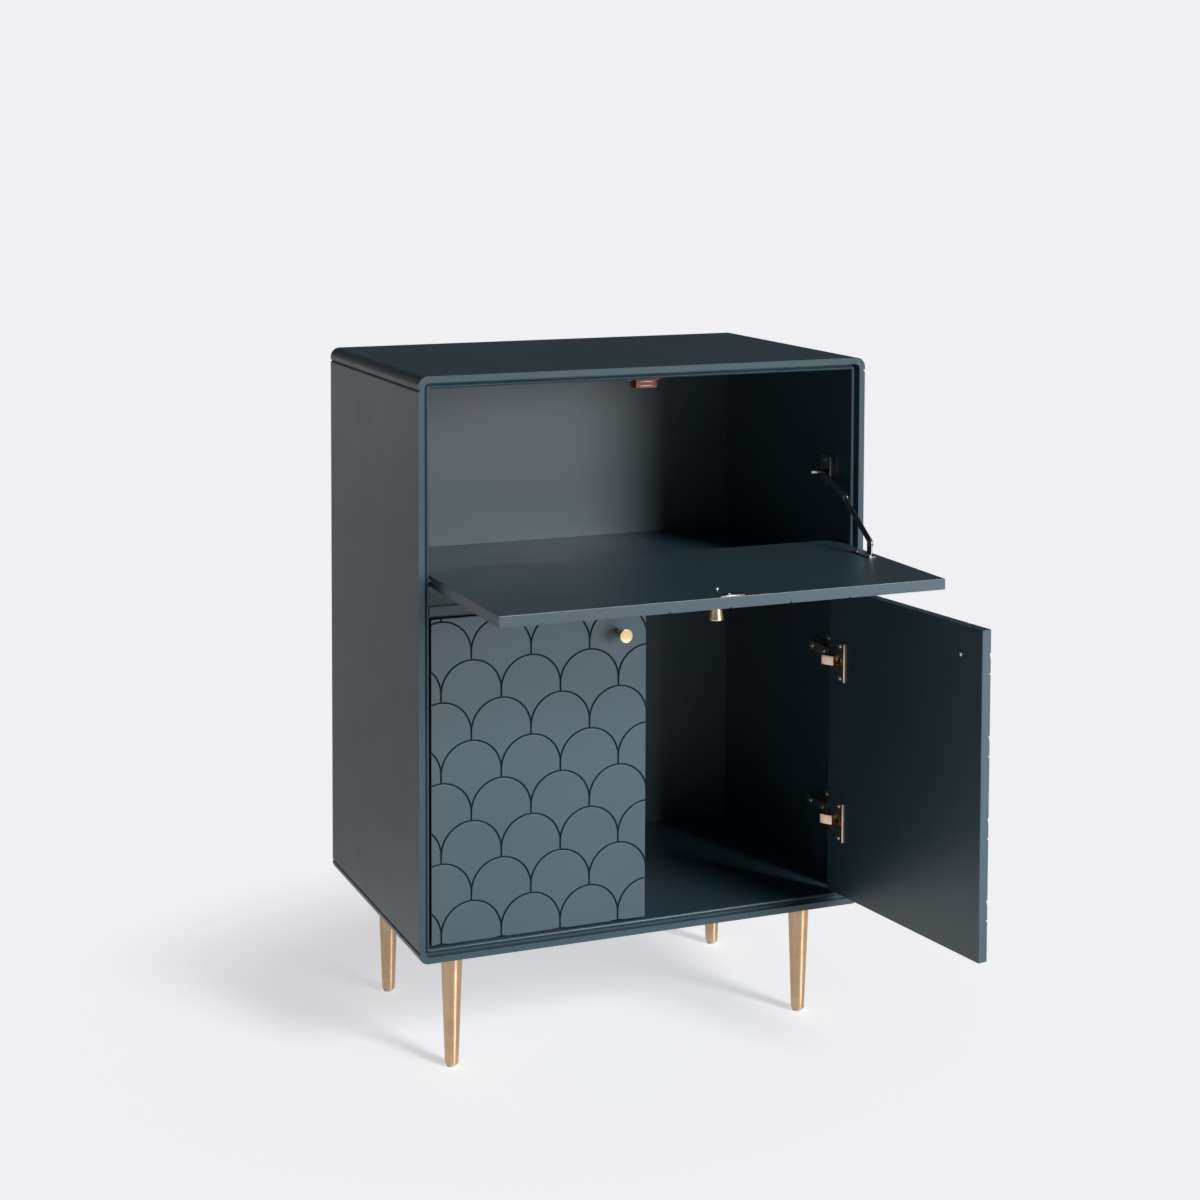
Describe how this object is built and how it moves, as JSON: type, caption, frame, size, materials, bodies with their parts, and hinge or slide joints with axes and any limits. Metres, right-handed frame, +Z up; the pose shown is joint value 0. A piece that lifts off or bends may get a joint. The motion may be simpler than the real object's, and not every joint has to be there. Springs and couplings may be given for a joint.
{
  "type": "bar cabinet",
  "caption": "Tall bar cabinet on tapered legs with a drop-down flap on a folding stay, hinged doors with cut scale grooves, cone knobs and a magnetic catch.",
  "frame": {"origin": "on the floor, under the middle of the cabinet's whole box at rest, with the flap and the right door open; the carcass's own middle is at x -0.0181, y +0.155", "axes": "+Z up, +X to the cabinet's right seen from the front, -Y towards the front"},
  "size_m": [0.7363, 0.7201, 1],
  "materials": {
    "lacquered_board": "satin petrol-blue lacquer on board",
    "lacquered_back": "satin petrol-blue lacquer on thin board",
    "lacquered_front": "satin petrol-blue lacquer over cut grooves",
    "brass_leg": "warm brushed",
    "brass_knob": "warm satin",
    "plastic_glide": "matt pale plastic",
    "catch_plastic": "reddish brown plastic",
    "dark_nickel": "dark nickel",
    "zinc_steel": "zinc plated",
    "nickel_steel": "nickel plated"
  },
  "bodies": {
    "cabinet": {"top_panel": "lacquered_board", "bottom_panel": "lacquered_board", "left_side_panel": "lacquered_board", "right_side_panel": "lacquered_board", "back_panel": "lacquered_back", "middle_shelf": "lacquered_board", "back_panel_screws": "zinc_steel", "flap_pivot_pins": "zinc_steel", "hinge_plate_screws": "zinc_steel", "stay_wall_bracket": "dark_nickel", "stay_pivot_bolt": "dark_nickel", "stay_wall_bracket_screws": "zinc_steel", "stay_wire_curl": "dark_nickel", "catch_housing": "catch_plastic", "catch_pole_strips": "zinc_steel", "catch_screws": "zinc_steel", "leg_glides": "plastic_glide", "leg_studs": "zinc_steel", "left_front_leg": "brass_leg", "right_front_leg": "brass_leg", "left_back_leg": "brass_leg", "right_back_leg": "brass_leg", "left_lower_hinge_arm": "nickel_steel", "left_lower_hinge_plate": "nickel_steel", "left_upper_hinge_arm": "nickel_steel", "left_upper_hinge_plate": "nickel_steel", "right_lower_hinge_arm": "nickel_steel", "right_lower_hinge_plate": "nickel_steel", "right_upper_hinge_arm": "nickel_steel", "right_upper_hinge_plate": "nickel_steel"},
    "flap": {"drop_flap": "lacquered_front", "flap_knob": "brass_knob", "flap_knob_screw": "zinc_steel", "stay_flap_bracket": "dark_nickel", "stay_flap_bracket_screws": "zinc_steel", "stay_flap_rivet": "dark_nickel", "strike_plate": "zinc_steel", "strike_plate_screw": "zinc_steel"},
    "stay_upper_arm": {"stay_upper_link": "dark_nickel"},
    "stay_lower_arm": {"stay_lower_link": "dark_nickel", "stay_elbow_rivet": "dark_nickel"},
    "left_door_leaf": {"left_door": "lacquered_front", "left_door_knob": "brass_knob", "left_door_knob_screw": "zinc_steel", "left_door_cup_screws": "zinc_steel", "left_lower_hinge_cup": "nickel_steel", "left_upper_hinge_cup": "nickel_steel"},
    "left_lower_link": {"left_lower_hinge_link": "nickel_steel"},
    "left_upper_link": {"left_upper_hinge_link": "nickel_steel"},
    "right_door_leaf": {"right_door": "lacquered_front", "right_door_knob": "brass_knob", "right_door_knob_screw": "zinc_steel", "right_door_cup_screws": "zinc_steel", "right_lower_hinge_cup": "nickel_steel", "right_upper_hinge_cup": "nickel_steel"},
    "right_lower_link": {"right_lower_hinge_link": "nickel_steel"},
    "right_upper_link": {"right_upper_hinge_link": "nickel_steel"}
  },
  "joints": [
    {"name": "flap_turn", "type": "hinge", "parent": "cabinet", "child": "flap", "pos_m": [-0.0181, -0.0345, 0.7145], "axis": [-1, 0, 0], "range_deg": [0, 90]},
    {"name": "left_door_turn", "type": "hinge", "parent": "cabinet", "child": "left_door_leaf", "pos_m": [-0.3374, -0.0438, 0.4305], "axis": [0, 0, -1], "range_deg": [0, 98.3]},
    {"name": "right_door_turn", "type": "hinge", "parent": "cabinet", "child": "right_door_leaf", "pos_m": [0.3012, -0.0438, 0.4305], "axis": [0, 0, -1], "range_deg": [0, 98.3]},
    {"name": "left_lower_link_turn", "type": "hinge", "parent": "cabinet", "child": "left_lower_link", "pos_m": [-0.34284, -0.0228, 0.3105], "axis": [0, 0, -1], "range_deg": [0, 44.32]},
    {"name": "left_upper_link_turn", "type": "hinge", "parent": "cabinet", "child": "left_upper_link", "pos_m": [-0.34284, -0.0228, 0.5505], "axis": [0, 0, -1], "range_deg": [0, 44.32]},
    {"name": "right_lower_link_turn", "type": "hinge", "parent": "cabinet", "child": "right_lower_link", "pos_m": [0.30664, -0.0228, 0.3105], "axis": [0, 0, -1], "range_deg": [0, 44.32]},
    {"name": "right_upper_link_turn", "type": "hinge", "parent": "cabinet", "child": "right_upper_link", "pos_m": [0.30664, -0.0228, 0.5505], "axis": [0, 0, -1], "range_deg": [0, 44.32]},
    {"name": "stay_upper_turn", "type": "hinge", "parent": "cabinet", "child": "stay_upper_arm", "pos_m": [0.3012, 0.02, 0.8205], "axis": [-1, 0, 0], "range_deg": [0, 104.8]},
    {"name": "stay_lower_turn", "type": "hinge", "parent": "flap", "child": "stay_lower_arm", "pos_m": [0.2989, -0.126, 0.739], "axis": [1, 0, 0], "range_deg": [0, 131.07]}
  ],
  "couplings": [
    {"joint": "left_lower_link_turn", "follows": "left_door_turn", "ratio": 0.45076},
    {"joint": "left_upper_link_turn", "follows": "left_door_turn", "ratio": 0.45076},
    {"joint": "right_lower_link_turn", "follows": "right_door_turn", "ratio": 0.45076},
    {"joint": "right_upper_link_turn", "follows": "right_door_turn", "ratio": 0.45076},
    {"joint": "stay_upper_turn", "follows": "flap_turn", "ratio": 1.1643},
    {"joint": "stay_lower_turn", "follows": "flap_turn", "ratio": 1.4562}
  ]
}
